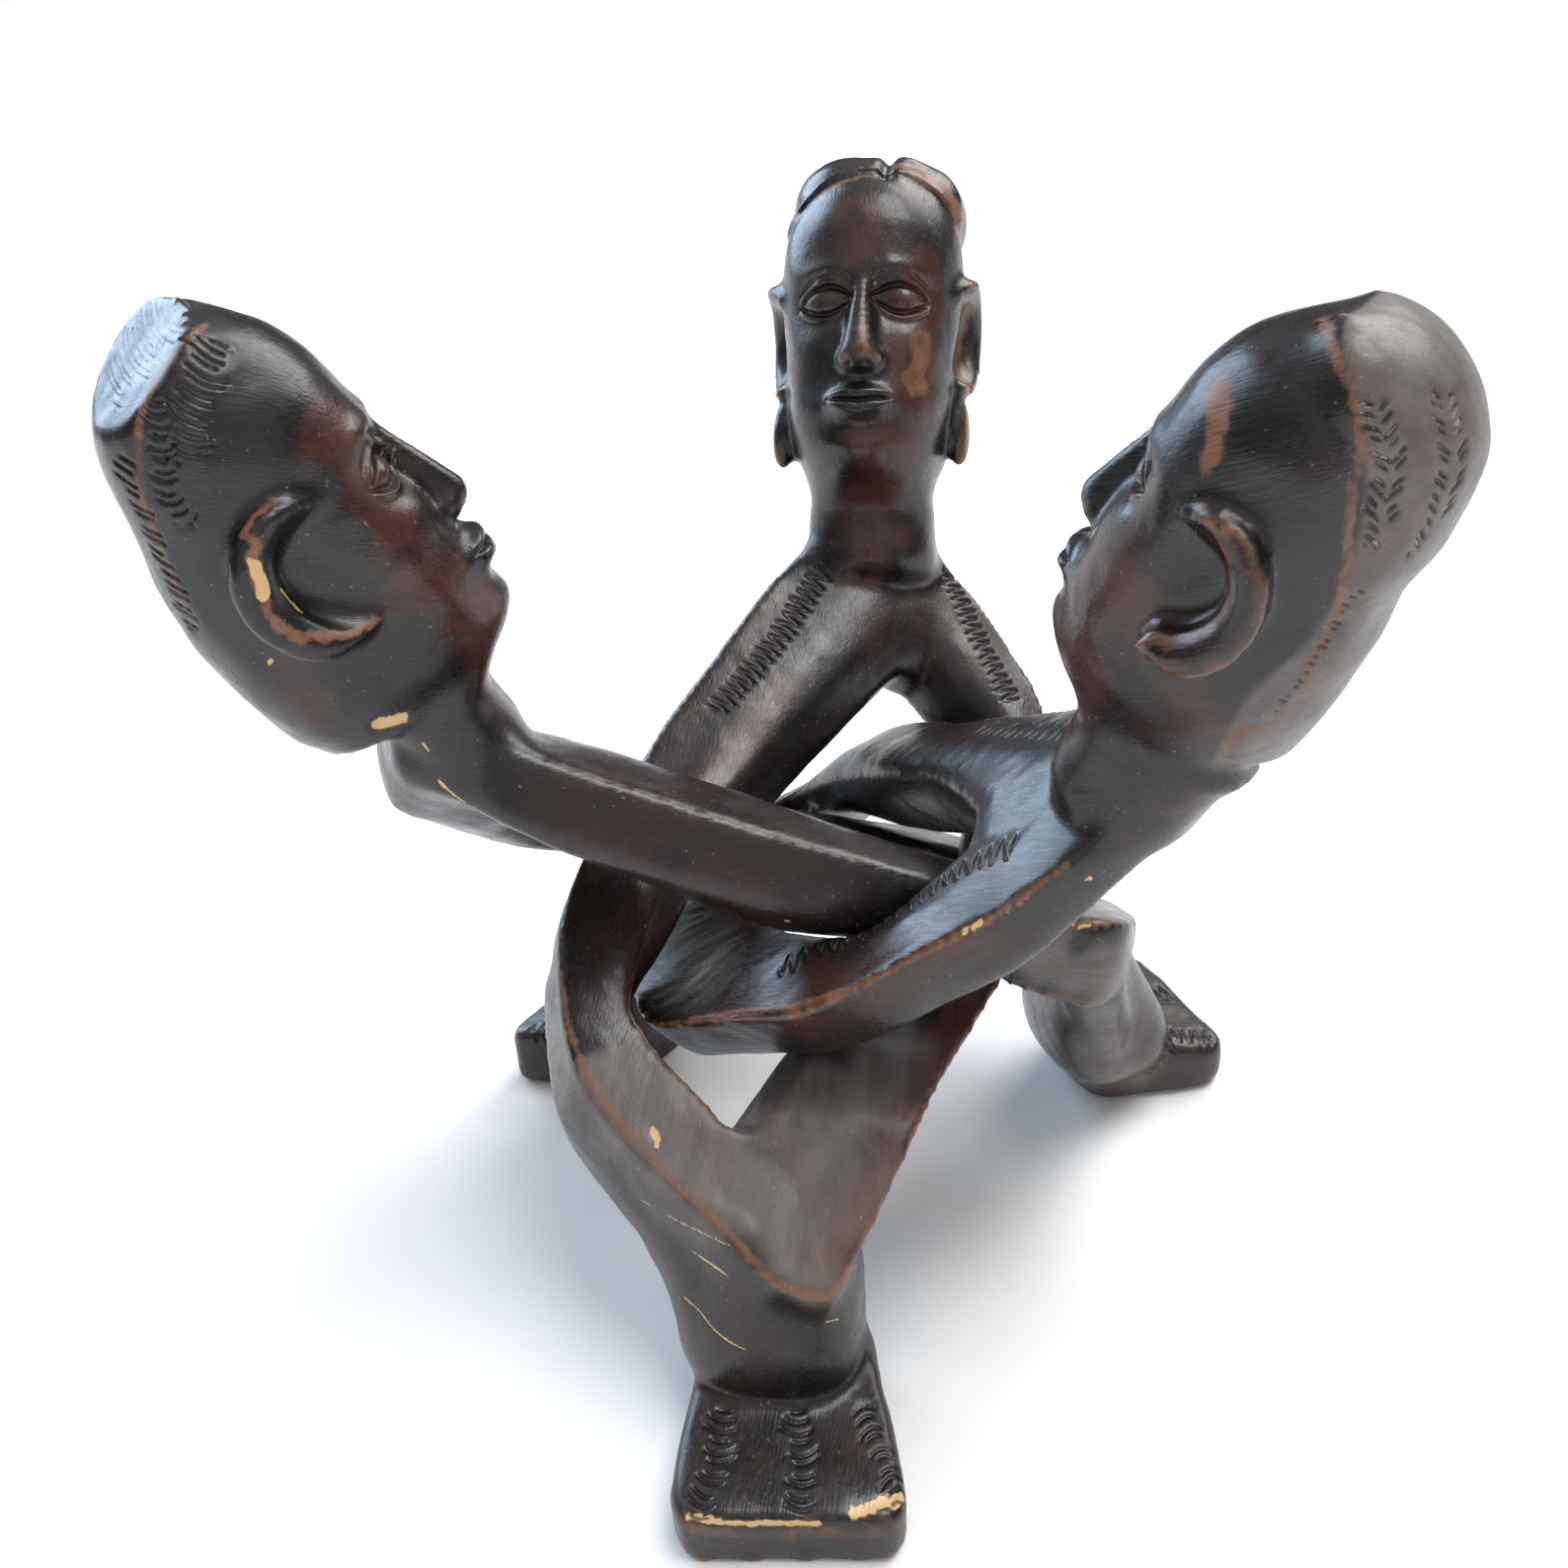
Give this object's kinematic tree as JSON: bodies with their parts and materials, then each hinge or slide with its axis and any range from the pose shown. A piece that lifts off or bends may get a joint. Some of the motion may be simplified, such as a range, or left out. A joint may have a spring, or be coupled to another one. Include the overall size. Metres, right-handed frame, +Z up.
{
  "type": "interlocking wooden figure stand",
  "caption": "Carved wooden figures with long heads whose slotted bodies pass through one another, standing together as a tripod.",
  "frame": {"origin": "on the surface that the feet stand on, at the middle of the whole outline seen from above", "axes": "+Z up; +Y is the long way of the outline and points away from the foot of figure_back, -Y out over that foot; +X to the right when facing along +Y"},
  "size_m": [0.378, 0.3878, 0.3587],
  "materials": {
    "carved_wood": "near-black brown waxed hardwood, satin, worn orange-brown along the edges"
  },
  "bodies": {
    "root": {"figure_back": "carved_wood", "figure_left": "carved_wood", "figure_right": "carved_wood"}
  },
  "joints": []
}
